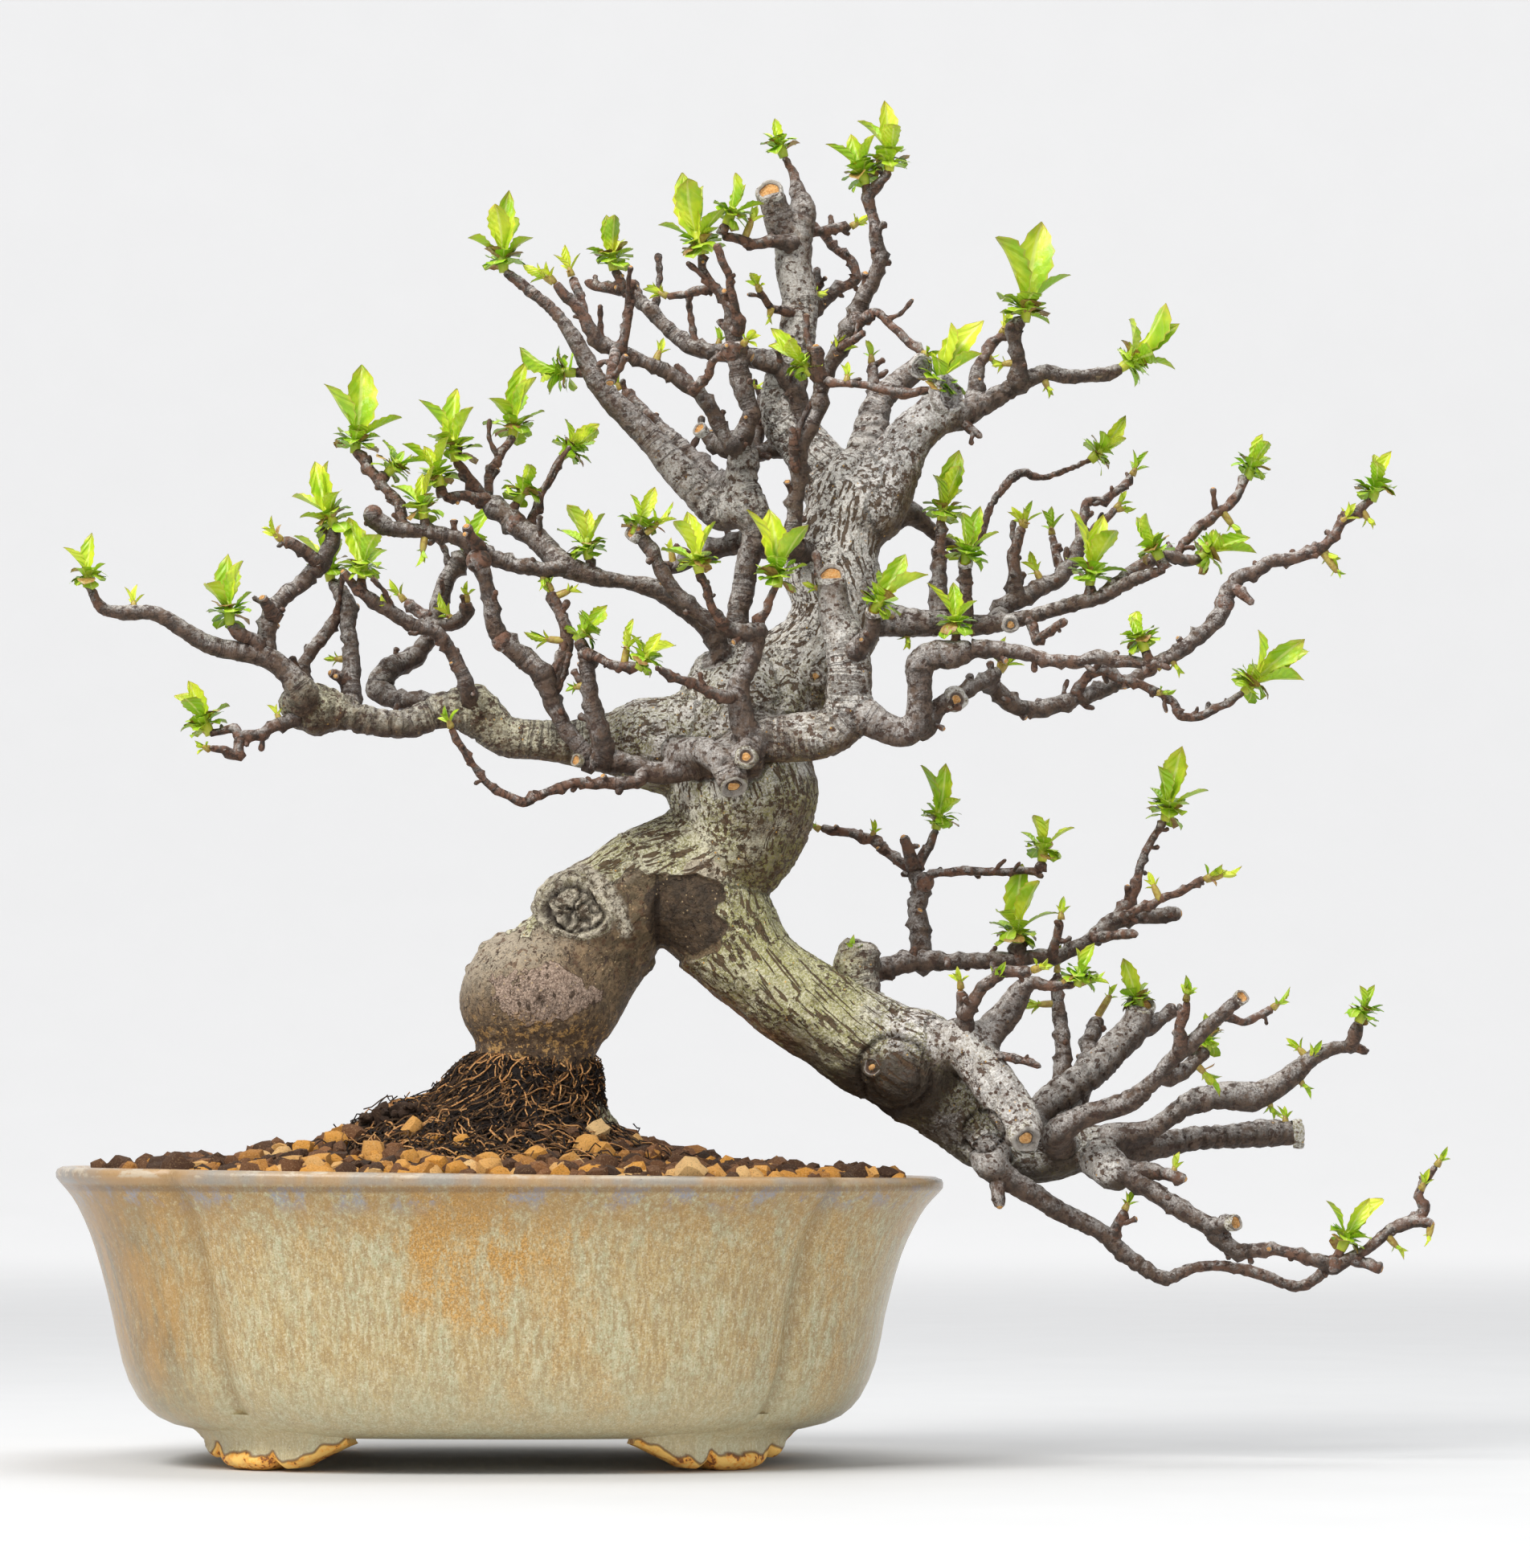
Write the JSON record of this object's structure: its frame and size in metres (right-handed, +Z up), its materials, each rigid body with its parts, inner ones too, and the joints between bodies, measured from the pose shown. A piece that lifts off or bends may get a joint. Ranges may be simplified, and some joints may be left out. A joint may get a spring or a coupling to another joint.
{
  "type": "chinese quince bonsai",
  "caption": "Potted flowering quince bonsai with a cascading limb and opening leaf shoots, in an oval four-lobed glazed pot on cloud feet.",
  "frame": {"origin": "bottom centre of the part's box, on the surface that the pot's feet stand on", "axes": "+Z up, +X towards the cascading limb along the pot's length, -Y towards the front"},
  "size_m": [0.3434, 0.17, 0.3363],
  "materials": {
    "glaze": "glossy streaked celadon and ochre glaze on stoneware",
    "akadama": "dry baked clay grains",
    "bark": "rough grey-brown bark",
    "young_leaf": "soft fresh leaf",
    "mesh_plastic": "black plastic net"
  },
  "bodies": {
    "root": {"pot": "glaze", "soil": "akadama", "tree": "bark", "drain_mesh_left": "mesh_plastic", "drain_mesh_right": "mesh_plastic", "leaf_cluster_01": "young_leaf", "leaf_cluster_02": "young_leaf", "leaf_cluster_03": "young_leaf", "leaf_cluster_04": "young_leaf", "leaf_cluster_05": "young_leaf", "leaf_cluster_06": "young_leaf", "leaf_cluster_07": "young_leaf", "leaf_cluster_08": "young_leaf", "leaf_cluster_09": "young_leaf", "leaf_cluster_10": "young_leaf", "leaf_cluster_11": "young_leaf", "leaf_cluster_12": "young_leaf", "leaf_cluster_13": "young_leaf", "leaf_cluster_14": "young_leaf", "leaf_cluster_15": "young_leaf", "leaf_cluster_16": "young_leaf", "leaf_cluster_17": "young_leaf", "leaf_cluster_18": "young_leaf", "leaf_cluster_19": "young_leaf", "leaf_cluster_20": "young_leaf", "leaf_cluster_21": "young_leaf", "leaf_cluster_22": "young_leaf", "leaf_cluster_23": "young_leaf", "leaf_cluster_24": "young_leaf", "leaf_cluster_25": "young_leaf", "leaf_cluster_26": "young_leaf", "leaf_cluster_27": "young_leaf", "leaf_cluster_28": "young_leaf", "leaf_cluster_29": "young_leaf", "leaf_cluster_30": "young_leaf", "leaf_cluster_31": "young_leaf", "leaf_cluster_32": "young_leaf", "leaf_cluster_33": "young_leaf", "leaf_cluster_34": "young_leaf", "leaf_cluster_35": "young_leaf", "leaf_cluster_36": "young_leaf", "leaf_cluster_37": "young_leaf", "leaf_cluster_38": "young_leaf", "leaf_cluster_39": "young_leaf", "leaf_cluster_40": "young_leaf", "leaf_cluster_41": "young_leaf", "leaf_cluster_42": "young_leaf", "leaf_cluster_43": "young_leaf", "leaf_cluster_44": "young_leaf", "leaf_cluster_45": "young_leaf", "leaf_cluster_46": "young_leaf", "leaf_cluster_47": "young_leaf", "leaf_cluster_48": "young_leaf", "leaf_cluster_49": "young_leaf", "leaf_cluster_50": "young_leaf", "leaf_cluster_51": "young_leaf", "leaf_cluster_52": "young_leaf", "leaf_cluster_53": "young_leaf", "leaf_cluster_54": "young_leaf"}
  },
  "joints": []
}
